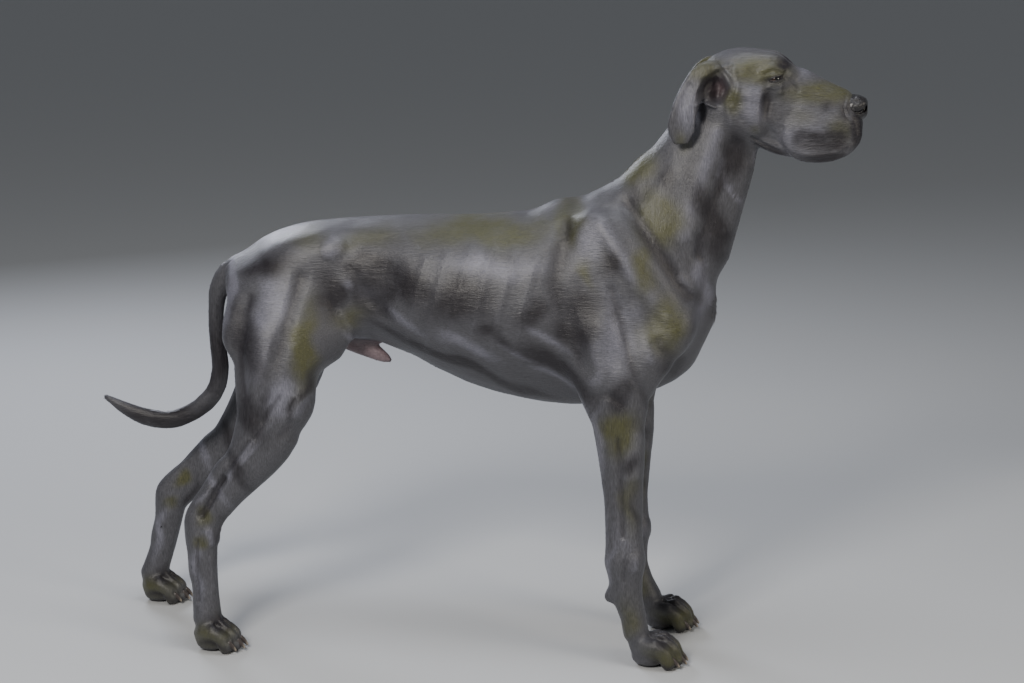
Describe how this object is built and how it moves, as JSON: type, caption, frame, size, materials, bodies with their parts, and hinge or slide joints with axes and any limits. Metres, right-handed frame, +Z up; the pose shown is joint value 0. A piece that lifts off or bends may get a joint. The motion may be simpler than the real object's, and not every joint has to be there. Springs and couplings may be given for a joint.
{
  "type": "great dane",
  "caption": "Life-size still model of a great dane: a tall, short-coated dog with drop ears, standing on all paws with its head level and its tail hanging in a curve.",
  "frame": {"origin": "on the floor, under the middle of the animal's box", "axes": "+X towards the nose, +Y towards the dog's left, +Z up"},
  "size_m": [1.523, 0.384, 1.1896],
  "materials": {
    "coat": "short dense steel-blue hair lying flat, with a soft satin sheen",
    "nose_leather": "moist, finely pebbled dark slate skin",
    "eye": "wet clear cornea over a dark brown iris",
    "claw": "satin horn, grey at the root and paler at the worn tip"
  },
  "bodies": {
    "root": {"sheath": "coat", "scrotum": "coat", "head": "coat", "lower_jaw": "coat", "nose": "nose_leather", "ear_right": "coat", "ear_left": "coat", "eye_right": "eye", "eye_left": "eye", "neck": "coat", "chest": "coat", "loin_and_rump": "coat", "tail_root": "coat", "tail_middle": "coat", "tail_end": "coat", "foreleg_right_forearm": "coat", "foreleg_right_wrist": "coat", "foreleg_right_paw": "coat", "foreleg_right_claw_1": "claw", "foreleg_right_claw_2": "claw", "foreleg_right_claw_3": "claw", "foreleg_right_claw_4": "claw", "hindleg_right_thigh": "coat", "hindleg_right_gaskin": "coat", "hindleg_right_hock": "coat", "hindleg_right_paw": "coat", "hindleg_right_claw_1": "claw", "hindleg_right_claw_2": "claw", "hindleg_right_claw_3": "claw", "hindleg_right_claw_4": "claw", "foreleg_left_forearm": "coat", "foreleg_left_wrist": "coat", "foreleg_left_paw": "coat", "foreleg_left_claw_1": "claw", "foreleg_left_claw_2": "claw", "foreleg_left_claw_3": "claw", "foreleg_left_claw_4": "claw", "hindleg_left_thigh": "coat", "hindleg_left_gaskin": "coat", "hindleg_left_hock": "coat", "hindleg_left_paw": "coat", "hindleg_left_claw_1": "claw", "hindleg_left_claw_2": "claw", "hindleg_left_claw_3": "claw", "hindleg_left_claw_4": "claw"}
  },
  "joints": []
}
